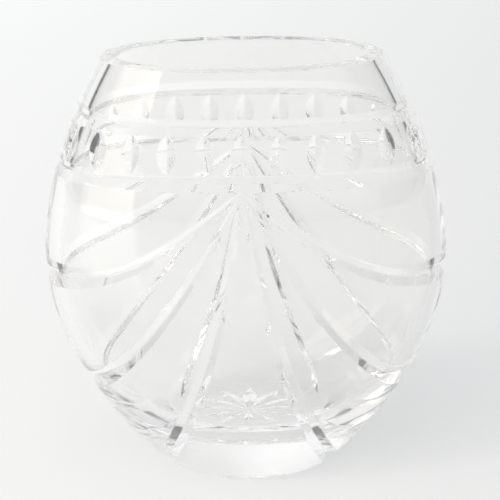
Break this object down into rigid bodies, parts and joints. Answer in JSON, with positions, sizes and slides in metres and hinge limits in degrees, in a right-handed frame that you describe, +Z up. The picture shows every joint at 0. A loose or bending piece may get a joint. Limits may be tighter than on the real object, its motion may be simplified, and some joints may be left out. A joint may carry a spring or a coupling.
{
  "type": "rose vase",
  "caption": "Flattened oval cut-crystal vase with a thick wall and heavy base, mitre rings, olive cuts, fan rays and a star-cut foot, to hold cut roses in water.",
  "frame": {"origin": "middle of the flat resting face under the foot", "axes": "+Z up through the mouth, +X along the width of the flattened oval, -Y towards the broad front face"},
  "size_m": [0.172, 0.097, 0.178],
  "materials": {
    "crystal": "clear lead crystal, hand cut and acid polished, with a ground and polished rim and foot"
  },
  "bodies": {
    "root": {"vase_body": "crystal"}
  },
  "joints": []
}
